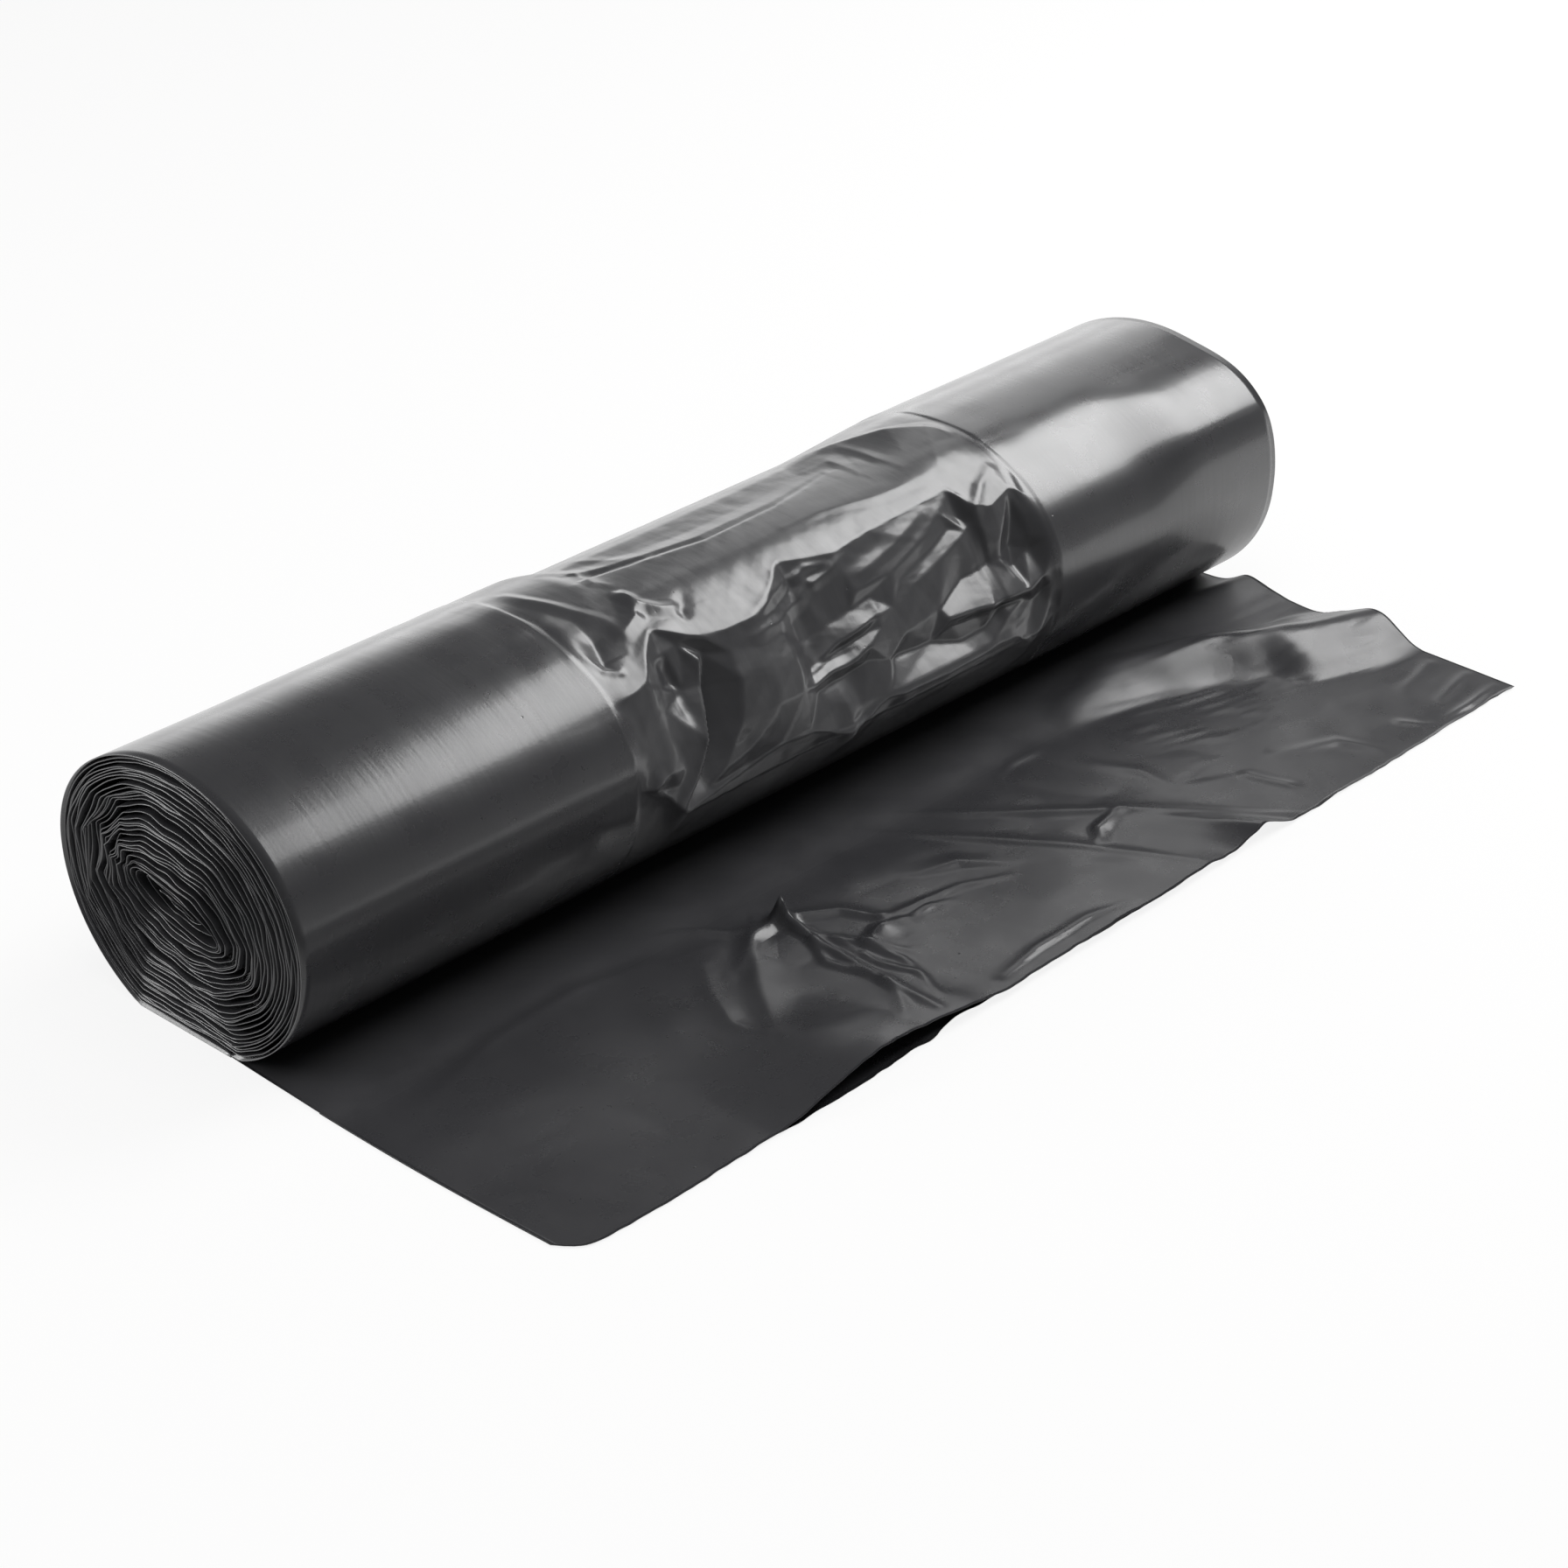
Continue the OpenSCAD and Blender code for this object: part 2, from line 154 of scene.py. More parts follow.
def crease(u, v, line, height, left, right, sharp=0.5, power=2.0):
    """Height of a fold with its crest along a line. left and right are its widths on either side of the line.

    height is one number, or one for each point of the line.
    """
    line = np.asarray(line, float)
    heights = np.broadcast_to(np.asarray(height, float), (len(line),))
    best = np.full(u.shape, 1e9)
    out = np.zeros(u.shape)
    for (a, b), (ha, hb) in zip(zip(line[:-1], line[1:]), zip(heights[:-1], heights[1:])):
        d = b - a
        t = share((u - a[0]) * d[0] + (v - a[1]) * d[1], 0, d @ d)
        du, dv = u - a[0] - t * d[0], v - a[1] - t * d[1]
        far = np.hypot(du, dv)
        side = d[0] * dv - d[1] * du
        width = np.where(side > 0, left, right)
        fade = np.clip(1 - (np.sqrt(far**2 + sharp**2) - sharp) / width, 0, None)
        lift = (ha + (hb - ha) * t) * fade**power
        nearer = far < best
        best = np.where(nearer, far, best)
        out = np.where(nearer, lift, out)
    return out


# The wound section


def outer_outline(angle):
    """[y, z] of the outermost turn: 0 at the bottom, 90 at the back, 180 at the top and 270 in front."""
    c = cosd(angle)
    z = CENTRE_Z - np.where(c > 0, LOWER_DEPTH, CENTRE_Z) * c
    return np.stack([HALF_WIDTH * sind(angle), np.clip(z, 0, None)], -1)


def slit_outline(angle):
    """[y, z] of the slit in the core, as a flattened oval."""
    y, z = SLIT_LENGTH / 2 * sind(angle), -SLIT_HEIGHT / 2 * cosd(angle)
    c, s = cosd(SLIT_SLOPE), sind(SLIT_SLOPE)
    return np.stack([SLIT_CENTRE[0] + y * c - z * s, SLIT_CENTRE[1] + y * s + z * c], -1)


def inward(angle):
    """How far in a point of the web lies: 0 at the outermost turn and 1 at the slit."""
    t = np.clip(angle - LEAD_ANGLE, 0, None) / (360 * FINE_TURNS - LEAD_ANGLE)
    return t * (1 - TIGHTNESS + TIGHTNESS * t)


# The turns lie in groups, and are flattened between corners at the back: from, to and by how much
GROUPS = 5
GROUPING = 0.62
CORNERS = ((38, 70, 1.9), (70, 104, 2.3), (104, 131, 1.7), (131, 156, 0.7))


def out_of_round(angle, t):
    """How far the turns stand off an even shape."""
    a = np.mod(angle, 360)
    a = a + 9 * np.sin(9 * t + 0.6) * ramp(t, 0.05, 0.3)
    out = np.zeros(a.shape)
    for start, end, sag in CORNERS:
        u = (a - start) / (end - start)
        out -= np.where((u > 0) & (u < 1), sag * 4 * u * (1 - u), 0)
    out *= ramp(t, 0.0, 0.3) * ramp(t, 1.0, 0.55)
    wave = 2 * sind(5 * angle + 160 * t) + sind(8 * angle - 250 * t) + 0.8 * sind(13 * angle + 400 * t)
    return out + 0.32 * wave * ramp(t, 0.1, 0.45) * ramp(t, 1.0, 0.8)


def wound(angle, depth=0.0):
    """[y, z] of the wound web. depth moves the point inwards, in millimetres."""
    t = inward(angle)
    ends = ramp(t, 0, 0.06) * ramp(t, 1, 0.94)
    phase = 1.2 * sind(angle + 40) + 0.8 * sind(2 * angle)
    t = t + GROUPING * ends * np.sin(2 * math.pi * GROUPS * t + phase) / (2 * math.pi * GROUPS)
    p = outer_outline(angle) * (1 - t)[..., None] + slit_outline(angle) * t[..., None]
    d = p - SLIT_CENTRE
    d = d / np.linalg.norm(d, axis=-1, keepdims=True)
    return p + d * (out_of_round(angle, t) - depth)[..., None]


def placed(x, p):
    """Points in metres, from x and [y, z] in millimetres. The section grows towards the right end."""
    k = 1 + END_GROWTH * x / (2 * END_X)
    return np.stack([x, k * p[..., 0], k * p[..., 1]], -1) * MM


# Folds of the loose film round the roll

# Places are x and degrees round the roll from the back, over the top: 90 is the top and 180 the front.

# Height of the loose film over the back and the top
OVER_TOP = (
    (0, 0), (30, -1.0), (50, -2.4), (62, -2.0), (70, -1.0), (76, -1.7), (82, -2.0), (88, -1.7), (95, -0.8),
    (100, -0.2), (105, 0.4), (110, 0.6), (116, 0.5), (124, 0.3),
)
# In front it hangs like a curtain from a crest to a hem. Each is x, degrees and height.
CREST = (
    (-96, 142, 0), (-84, 141, 0.3), (-77, 139, 0.5), (-71, 129, 0.6), (-64, 122, 0.7), (-52, 131, 0.5),
    (-40, 134, 0.5), (-28, 134, 0.5), (-15, 128, 0.4), (-4, 119, 0.5), (6, 122, 0.4), (18, 125, 0.4),
    (36, 123, 0.4), (56, 122, 0.4), (77, 121, 0.5), (81, 132, 0.4), (88, 135, 0.4), (100, 131, 0.8),
    (109, 140, 0),
)
HEM = (
    (-96, 176, 0), (-86, 179, 0.6), (-82, 185, 1.6), (-78, 191, 4.4), (-64, 190, 2.6), (-47, 188, 1.6),
    (-31, 186, 1.2), (-17, 187, 1.8), (-9, 190, 3.2), (-3, 193, 5.2), (6, 192, 3.4), (19, 188, 2.4),
    (25, 189, 3.4), (45, 189.5, 3.8), (65, 190, 3.2), (73, 189, 2.6), (83, 190, 2.2), (91, 195, 3.4),
    (109, 190, 0),
)
CURTAIN_RADIUS = 50.0

# The right end is squared out at the top of its front: place and height
SQUARED = ((106, 0), (112, 0.6), (128, 3.5), (137, 4.2), (147, 4.2), (156, 2.9), (168, 1.0), (180, 0))

# How far apart a line is averaged to round its corners off
ALONG_ROLL = (-1.2, -0.4, 0.4, 1.2)
ROUND_ROLL = (-3, -1, 1, 3)
ROUND_CORNER = (-4, -1.3, 1.3, 4)


def curtain(x, place):
    """Height of the loose film above the tight roll, without its small folds."""
    over = rounded(place, OVER_TOP, ROUND_ROLL)
    over *= np.where(over < 0, ramp(x, -70, -57) * ramp(x, 108, 62), 1)
    crest, hem = rounded(x, CREST, ALONG_ROLL), rounded(x, HEM, ALONG_ROLL)
    crest_r = CURTAIN_RADIUS + rounded(x, CREST, ALONG_ROLL, 2)
    hem_r = CURTAIN_RADIUS + rounded(x, HEM, ALONG_ROLL, 2)
    at = np.clip(place, crest, hem)
    flat = crest_r * hem_r * sind(hem - crest) / (crest_r * sind(at - crest) + hem_r * sind(hem - at))
    flat -= CURTAIN_RADIUS
    # above the crest and under the hem the film bends back to the roll
    back_up = ramp(place, crest - 12, crest)
    high = over + (flat - over) * np.where(place < crest, back_up**2, 1)
    under = (hem_r - CURTAIN_RADIUS) * (1 - ramp(place, hem - 3, hem + 24)) ** 1.5
    return np.where(place < hem, high, under)


# Corners of the flat facets of the curtain, as x, degrees round the roll and height over it. The
# first ones run along creases, so that each crease keeps to its line.
CREASES = (
    # edge of the deep valley, its floor, its other side, and the columns beside it
    ((-48, 134, 0.5), (-55, 141, 0.8), (-60, 150, 1.0), (-64, 159, 3.1), (-67, 168, 5.1), (-70, 180, 3.0),
     (-74, 196, 0.8)),
    ((-52, 138, -2.0), (-58, 151, -4.0), (-64.5, 167, -4.2), (-69, 181, -2.8)),
    ((-43, 142, 0.6), (-45, 153, 2.4), (-50, 167, 2.4), (-58, 182, 1.2)),
    ((-30, 146, 1.2), (-31, 157, 2.6), (-33, 168, 2.8), (-40, 181, 1.4)),
    ((-20, 144, 0.8), (-20, 155, 1.9), (-21, 168, 2.1)),
    ((-13, 139, -0.8), (-14, 152, -1.6), (-14, 163, -1.2)),
    # eye-shaped facets
    ((0, 157.5, 0.8), (9, 156.5, 1.4), (20, 154.5, 0.9)),
    ((-15, 169, 0.7), (-7, 166.5, 1.3), (3, 167, 1.4), (12, 164, 1.0), (20, 159, 0.4)),
    ((-2, 150, -0.6), (10, 148.5, -0.5), (20, 146.5, -0.4)),
    ((-11, 162, -0.6), (0, 160.5, -0.8), (12, 159, -0.6)),
    ((-13, 173, -0.8), (-3, 172, -1.0), (10, 170, -0.8)),
    # folds that fan out from the right peak
    ((16, 143, 0.7), (34, 142, 1.3), (52, 136, 1.5), (66, 129, 1.1), (77, 122, 0.2)),
    ((40, 150, 0.5), (56, 145.5, 1.5), (66, 142, 2.1), (71, 140, 2.1), (77, 138, 0.5), (82, 137, 0.3)),
    ((36, 146, 0.2), (54, 141, 0.4), (66, 136, 0.6)),
    # shelf that faces up, and the lens-shaped hollow beside it
    ((48, 164, -0.4), (62, 156.5, -1.0), (71, 155.5, 0.2), (76, 155, -1.6), (80.5, 155, -0.6)),
    ((50, 168.5, 1.5), (62, 169.5, 2.7), (70, 170.5, 4.2), (76, 171, 2.9), (88, 171.5, 3.8)),
    ((52, 172.5, -0.4), (64, 173.5, -0.2), (70, 174, 1.0), (76, 174.5, -0.6), (88, 175, 0.6)),
    ((99, 132, 0.2), (91, 141, 0.9), (84, 149, 0.4), (81.5, 155, -0.4), (84, 163, 1.5), (88, 171.5, 3.8)),
    ((99, 132, 0.2), (98, 143, 1.2), (96.5, 152, 1.6), (94, 157, 0.3), (91, 164, 2.0), (88, 171.5, 3.8)),
    ((95, 142, -1.4), (90, 152, -2.6), (87.5, 162, -1.8)),
    ((96.5, 152, 1.6), (103, 155, 1.4), (106, 165, 0.4)),
    ((94, 157, 0.3), (96.5, 168, 3.6), (100, 173, 2.0), (100.5, 183, 1.8), (97, 196, 0.8)),
    ((93.5, 178, -0.4), (93, 186, -0.6)),
    ((106, 171, -0.2), (106, 184, -0.2)),
    # foot of the curtain, which faces up
    ((25, 175.5, -3.0), (44, 178, -3.5), (58, 183, -2.2)),
    ((22.5, 175, -1.2), (22.5, 187.5, -0.4)),
    # under the left peak
    ((-64, 122, 0.2), (-66, 133, 1.2), (-67, 148, 0.2)),
    ((-59, 131, -0.3), (-61, 138, -0.3)),
    ((-70.5, 134, 0.6), (-74, 144, 0.7), (-76.5, 152, 0.4), (-72, 160, 2.6), (-67, 168, 5.1)),
    ((-70, 138, -0.5), (-71, 143, -0.4)),
    ((-76.5, 152, 0.4), (-67, 148, 0.2), (-59, 148, 0.6)),
    # pleats beside the left ring
    ((-90, 160, 0.8), (-84, 168, 1.2), (-88, 179, 1.8)),
    ((-88, 179, 1.8), (-81, 174.5, 1.8), (-75, 176, 1.0)),
    ((-84, 181, -0.4), (-77, 182, 0.2)),
)
CORNER_POINTS = (
    (-83, 150, 0.4), (-78, 163, 0.3), (-92, 150, 0), (-30, 187, 0.2), (-5, 181, 0.2), (8, 186, 0.4),
    (28, 155, 0), (32, 166, -0.3), (14, 178, -0.6), (36, 130, 0.2), (16, 134, 0.3), (-6, 135, 0.2),
    (-24, 136, 0.8), (68, 182, -1.6), (74, 187, 0), (80, 179, 1.0), (84, 185, 0.2), (86, 140, 0.2),
    (105, 146, 0.6),
)


def triangles_between(lines, corners, depth=1.0):
    """Flat triangles between corners that keep to the given lines. Corners are u, v * depth and height."""
    points = [p for line in lines for p in line] + list(corners)
    edges, first = [], 0
    for line in lines:
        edges += [(first + k, first + k + 1) for k in range(len(line) - 1)]
        first += len(line)
    flat = [Vector((p[0], p[1] * depth)) for p in points]
    made, _, triangles, sources, _, _ = delaunay_2d_cdt(flat, edges, [], 0, 0.01, True)
    heights = [np.mean([points[k][2] for k in source]) if source else 0.0 for source in sources]
    return [[(made[k].x, made[k].y, heights[k]) for k in triangle] for triangle in triangles]


def height_on(triangles, u, v):
    """Height of the triangles at each place, and 0 beside them."""
    out = np.zeros(u.shape)
    for (ua, va, ha), (ub, vb, hb), (uc, vc, hc) in triangles:
        area = (ub - ua) * (vc - va) - (uc - ua) * (vb - va)
        if abs(area) < 1e-6:
            continue
        wb = ((u - ua) * (vc - va) - (v - va) * (uc - ua)) / area
        wc = ((v - va) * (ub - ua) - (u - ua) * (vb - va)) / area
        inside = (wb >= -1e-9) & (wc >= -1e-9) & (wb + wc <= 1 + 1e-9)
        out = np.where(inside, ha + wb * (hb - ha) + wc * (hc - ha), out)
    return out


def middle_folds(x, place):
    """The small folds of the loose film, over the curtain."""
    s = place * SKIN_PER_DEGREE

    def fold(line, height, above, below, sharp=0.35, power=1.3):
        scaled = [(px, pa * SKIN_PER_DEGREE) for px, pa in line]
        return crease(x, s, scaled, height, below, above, sharp, power)

    # double crease along the top
    upper = [(-61, 83), (-50, 88), (-38, 91), (-15, 94.5), (20, 93.5), (50, 88)]
    h = fold(upper, [0.4, 0.5, 0.5, 0.6, 0.5, 0.1], 6, 2, 0.3)
    h += fold([(-61, 90), (-45, 93), (-15, 97), (20, 96), (50, 91)], [0.4, 0.4, 0.5, 0.4, 0.2], 2, 8, 0.3)
    h -= fold([(-60, 87), (-38, 92), (-15, 96), (18, 95), (48, 90)], [0.4, 0.4, 0.5, 0.4, 0.1], 1.6, 1.4, 0.3)
    h += fold([(-52, 72), (-46, 84), (-38, 91)], [0.2, 0.25, 0.15], 4, 5)
    h += fold([(-66, 72), (-61, 82), (-62, 93), (-58, 99)], [0.3, 0.5, 0.4, 0.1], 4, 3)
    h += fold([(46, 83), (57, 84), (57.5, 98)], [0.1, 0.3, 0.2], 7, 3)
    h += fold([(68, 80), (68.5, 95), (72, 104)], [0.15, 0.25, 0.1], 4, 3)
    ridge = [(48, 66), (68, 74), (86, 84), (97, 93), (103, 99), (108, 104)]
    h += fold(ridge, [0.4, 1.8, 3.1, 2.6, 1.0, 0.0], 9, 30, 0.4, 1.3)
    h += fold([(12, 107), (28, 107), (54, 112), (78, 112)], [0.1, 0.2, 0.25, 0.2], 5, 3)
    # tension fold, curl and flap by the left ring
    h += fold([(-86, 78), (-85, 86), (-81, 97), (-73, 113)], [0.3, 0.6, 0.6, 0.3], 3, 5)
    h -= fold([(-82, 106), (-82.5, 117), (-86, 127), (-84, 132)], [0.6, 1.9, 1.4, 0.3], 9, 9, 0.4, 1.2)
    h += fold([(-91, 121), (-88, 129), (-83, 132)], [0.3, 0.7, 0.4], 2, 2)
    h += fold([(-60, 105), (-59, 111), (-54, 116), (-47, 119)], [0.9, 1.4, 1.2, 0.3], 3, 4)
    h += fold([(-60, 107), (-64, 115), (-72, 119)], [0.9, 1.3, 0.9], 4, 5)
    h -= fold([(-48, 121), (-42, 114)], [0.8, 0.1], 3, 4)
    # fine folds in front
    h += fold([(-5, 122), (-9, 128), (-19, 132), (-30, 136)], [0.2, 0.8, 0.7, 0.2], 3, 4)
    h += fold([(-31, 141), (-18, 140), (-6, 136), (-1, 130)], [0.3, 0.8, 0.8, 0.5], 4, 4)
    h += fold([(2, 133), (12, 131), (22, 127)], [0.8, 0.5, 0.1], 2.5, 3)
    h += fold([(-4, 128), (4, 126), (12, 128)], [0.5, 0.6, 0.2], 2.5, 2.5)
    h += fold([(22, 137), (40, 133), (60, 126)], [0.2, 0.5, 0.2], 5, 3)
    h += fold([(80, 134), (90, 126), (100, 121)], [0.6, 0.9, 0.3], 3, 4)
    h += fold([(103, 136), (105, 129), (109, 122)], [0.3, 0.7, 0.3], 3, 3)
    h -= fold([(-14, 166), (-6, 163.5), (6, 163)], [0.4, 0.5, 0.2], 1.6, 1.6)
    h += fold([(-60, 186), (-48, 181), (-38, 174)], [0.3, 0.6, 0.2], 5, 4)
    h += fold([(-4, 176), (2, 190), (6, 203)], [0.4, 1.2, 1.0], 5, 6)
    return h


# The folds were placed where the camera sees them on the tight roll. It faces this place round the roll,
# and looks this far along the roll for each millimetre that it looks into it.
FACED_PLACE = 143
LOOKS_ALONG = 0.82


def skin_lift(x, angle):
    """Height of the outermost film above the tight roll."""
    place = angle - 90
    s = place * SKIN_PER_DEGREE
    loose = ramp(x, MIDDLE_LEFT - 1, MIDDLE_LEFT + 8) * ramp(x, MIDDLE_RIGHT + 1, MIDDLE_RIGHT - 8)
    front = ramp(place, 104, 126) * ramp(place, 222, 200)
    h = curtain(x, place)
    # film that stands off the tight roll hides a place further along and round it
    slant = np.clip(place - FACED_PLACE, -45, 45)
    seen_x = x + LOOKS_ALONG * h / cosd(slant)
    seen_place = place + h * np.tan(np.radians(slant)) / SKIN_PER_DEGREE
    rim = [(p[0], p[1], 0.0) for line in (CREST, HEM) for p in line]
    walls = triangles_between(CREASES, rim + list(CORNER_POINTS), SKIN_PER_DEGREE)
    near = ((-0.5, -0.5), (0.5, -0.5), (-0.5, 0.5), (0.5, 0.5))
    wall = sum(height_on(walls, seen_x + dx, (seen_place + dp) * SKIN_PER_DEGREE) for dx, dp in near)
    h += middle_folds(seen_x, seen_place) + wall / len(near)
    h += 0.35 * (0.3 + 0.7 * front) * facets(x, s, 29, 7)
    h += 0.19 * (0.4 + 0.6 * front) * facets(x, s, 11, 11)
    h += 0.05 * (0.3 + 0.7 * front) * facets(x, s, 5, 13)
    h = loose * h * ramp(angle, 360 - NIP_ANGLE, 325 - NIP_ANGLE)
    h += rounded(place, SQUARED, ROUND_CORNER) * ramp(x, 154, 188)
    # the tight bands: faint waves round the roll, wrinkles beside the rings, and the step of the gusset
    band = 1 - loose
    h += band * 0.10 * noise(x / 23, s / 90, 21) * ramp(angle, 10, 60)
    by_ring = bump((x - MIDDLE_LEFT + 8) / 26) + bump((x - MIDDLE_RIGHT - 6) / 26)
    h += 0.30 * by_ring * band * facets(x, s, 17, 27) * ramp(angle, 60, 120)
    ring_wave = 1.4 * noise_line(s / 28, 3.5, 31)
    left_step = ramp(x, MIDDLE_LEFT - 1.2 + ring_wave, MIDDLE_LEFT + ring_wave)
    right_step = ramp(x, MIDDLE_RIGHT + 1.2 + ring_wave, MIDDLE_RIGHT + ring_wave)
    h -= 0.28 * left_step * right_step * ramp(angle, 20, 60)
    return h


# The free sheet


# Corners of the flat facets of the raised part on the right, as x, y and height: its ridge, its foot
# in front and its foot at the back
RAISED = (
    ((96, -65, 1.0), (112, -62, 4.4), (134, -59, 8.2), (172, -75, 11.2), (187, -84, 11.0),
     (END_X + 4, -105, 10.2)),
    ((102, -70, 0), (120, -73, 0), (143, -77, 0), (160, -86, 0), (178, -98, 0), (187, -112, 0)),
    ((187, -112, 0), (206, -121, 0), (END_X + 4, -121, 0)),
    ((104, -52, 0), (140, -44, 0.6), (166, -54, 1.2), (190, -66, 1.6), (END_X + 4, -84, 0.6)),
)


def sheet_rise(x, y):
    """Height of both plies above the floor."""

    def fold(line, height, left, right, sharp=0.6, power=2.0):
        return crease(x, y, line, height, left, right, sharp, power)

    raised = triangles_between(RAISED, ())
    near = (-4, -2, 0, 2, 4)
    h = sum(height_on(raised, x + dx, y + dy) for dx in near for dy in near) / len(near) ** 2
    h += fold([(183, -30), (END_X + 4, -49)], [0.5, 5.5], 14, 24, 3.0)
    h += fold([(84, -SHEET_REACH - 2), (74, -142), (62, -118)], [6.0, 3.0, 0.6], 20, 18, 2.2)
    h += fold([(-110, -126), (-94, -104), (-74, -82)], [0.5, 1.1, 1.7], 7, 12, 1.0)
    # in the middle it slopes up to the front edge
    h += 2.4 * share(y, -108, -SHEET_REACH) * ramp(x, -88, -62) * ramp(x, 78, 52)
    return h * ramp(y, -17, -47)


def sheet_creases(x, y):
    """Fine folds of the upper ply, on top of its rise."""

    def fold(line, height, left, right, sharp=0.35, power=2.0):
        return crease(x, y, line, height, left, right, sharp, power)

    h = np.zeros(x.shape)
    # crumple that runs out from one peak
    h += fold([(-63, -84), (-66, -112), (-70, -134), (-73, -158)], [3.0, 1.8, 1.4, 0.6], 4, 5, 0.25)
    h += fold([(-63, -84), (-61, -100), (-56, -112), (-50, -126)], [2.4, 1.4, 1.2, 0.3], 4, 5, 0.25)
    h += fold([(-60, -104), (-62, -124), (-59, -138), (-66, -152)], [0.6, 1.0, 0.8, 0.3], 2.5, 3, 0.25)
    h += fold([(-66, -100), (-72, -112), (-70, -126)], [0.8, 1.2, 0.4], 3, 3, 0.25)
    h += fold([(-70, -134), (-77, -146), (-84, -154)], [0.8, 0.9, 0.3], 4, 5, 0.25)
    h += fold([(-56, -112), (-55, -128), (-60, -142)], [0.5, 0.8, 0.2], 2.5, 3, 0.25)
    h += fold([(-63, -84), (-78, -86), (-92, -94)], [2.6, 1.0, 0.3], 5, 6)
    h += fold([(-63, -84), (-46, -94), (-41, -106)], [2.6, 1.2, 1.0], 6, 3.5)
    h += fold([(-41, -106), (-36, -108), (-22, -109), (-8, -111), (8, -119)], [1.0, 1.0, 0.9, 0.8, 0.2], 4, 3)
    h += fold([(-56, -114), (-46, -111), (-39, -112)], [1.0, 2.6, 1.4], 4, 9, 0.5, 1.2)
    h += fold([(-36, -112), (-26, -112), (-18, -114)], [0.5, 1.2, 0.3], 2, 4, 0.3, 1.2)
    h += fold([(-92, -64), (-86, -70), (-78, -80)], [0.5, 1.4, 0.8], 3, 4)
    # crescent round the dent
    h += fold([(-98, -84), (-108, -98), (-116, -114), (-114, -126)], [0.2, 0.5, 0.5, 0.2], 5, 7)
    # long straight creases
    h += fold([(-4, -64), (20, -98), (36, -124), (54, -162)], [0.5, 0.7, 0.6, 0.3], 7, 4, 0.25)
    h += fold([(10, -62), (38, -92), (64, -119), (104, -SHEET_REACH)], [0.5, 0.8, 0.9, 0.5], 6, 5, 0.25)
    h += fold([(40, -128), (48, -121), (63, -118)], [0.1, 1.7, 0.6], 2.5, 5, 0.3, 1.2)
    h += fold([(-12, -96), (2, -101), (14, -113)], [0.4, 1.3, 0.2], 7, 4, 0.4, 1.3)
    h += fold([(84, -92), (90, -106), (88, -120)], [0.2, 0.5, 0.2], 5, 5, 0.8)
    h -= fold([(97, -122), (118, -128), (138, -119)], [0.3, 0.9, 0.3], 5, 5, 0.8)
    h += fold([(54, -74), (66, -71), (80, -72)], [0.1, 0.5, 0.1], 4, 4)
    # waves on the right
    h += fold([(186, -62), (206, -76), (END_X + 4, -90)], [0.2, 0.7, 1.2], 5, 3)
    h += fold([(112, -134), (116, -148)], [0.5, 0.6], 5, 4, 0.8)
    h += fold([(130, -132), (152, -142), (158, -156)], [0.4, 0.8, 0.3], 5, 6, 0.8)
    h += fold([(178, -150), (186, -160)], [0.5, 0.3], 4, 4, 0.6)
    h += fold([(200, -136), (222, -132)], [0.3, 0.6], 5, 6, 0.8)
    h += fold([(202, -150), (224, -146)], [0.4, 0.6], 4, 5, 0.8)
    combed = ramp(x, 100, 130) * ramp(y, -124, -112) * ramp(y, -52, -64)
    h += 0.42 * combed * noise((x - 1.5 * y) / 40, (y + 0.3 * x) / 4.6, 45)
    h += 0.50 * combed * facets(x, y, 21, 49)
    # ripples at the front edge
    h += fold([(-44, -158), (-24, -155), (0, -155), (14, -158)], [0.6, 1.2, 0.8, 0.2], 5, 3, 0.3)
    h += fold([(186, -158), (206, -160), (224, -158)], [0.2, 0.9, 0.3], 4, 3, 0.3)
    h += fold([(-205, -79), (-170, -70), (-135, -68), (-106, -74)], [0.3, 1.3, 1.5, 0.4], 7, 34, 1.5)
    # faint waves and small crumples everywhere
    h += 0.45 * noise(x / 38 + y / 90, y / 26, 41)
    crumpled = bump((x + 58) / 70) + 0.8 * bump((x - 60) / 90) + 0.7 * bump((x - 180) / 80)
    h += 0.9 * (0.25 + crumpled) * facets(x, y, 44, 43)
    h += 0.16 * (0.3 + crumpled) * facets(x, y, 15, 47)
    return h * ramp(y, -24, -52) * ramp(np.abs(x), END_X + 8, END_X - 14)


def mouth_lift(x, y):
    """How far the upper ply stands off the lower one, behind the front edge."""
    return 8.0 * bump((x + 102) / 50) * ramp(y, -112, -SHEET_REACH)


# Meshes


def piece(name, points, quads, uv):
    """A smooth-shaded mesh object from points in metres and four-cornered faces."""
    mesh = bpy.data.meshes.new(name)
    points, quads = np.asarray(points, np.float32), np.asarray(quads, np.int32)
    mesh.vertices.add(len(points))
    mesh.vertices.foreach_set("co", points.ravel())
    mesh.loops.add(quads.size)
    mesh.loops.foreach_set("vertex_index", quads.ravel())
    mesh.polygons.add(len(quads))
    mesh.polygons.foreach_set("loop_start", np.arange(0, quads.size, 4, dtype=np.int32))
    mesh.polygons.foreach_set("use_smooth", np.ones(len(quads), bool))
    layer = mesh.uv_layers.new(name="film")
    layer.data.foreach_set("uv", np.asarray(uv, np.float32)[quads.ravel()].ravel())
    mesh.update(calc_edges=True)
    mesh.validate()
    made = bpy.data.objects.new(name, mesh)
    bpy.context.scene.collection.objects.link(made)
    return made


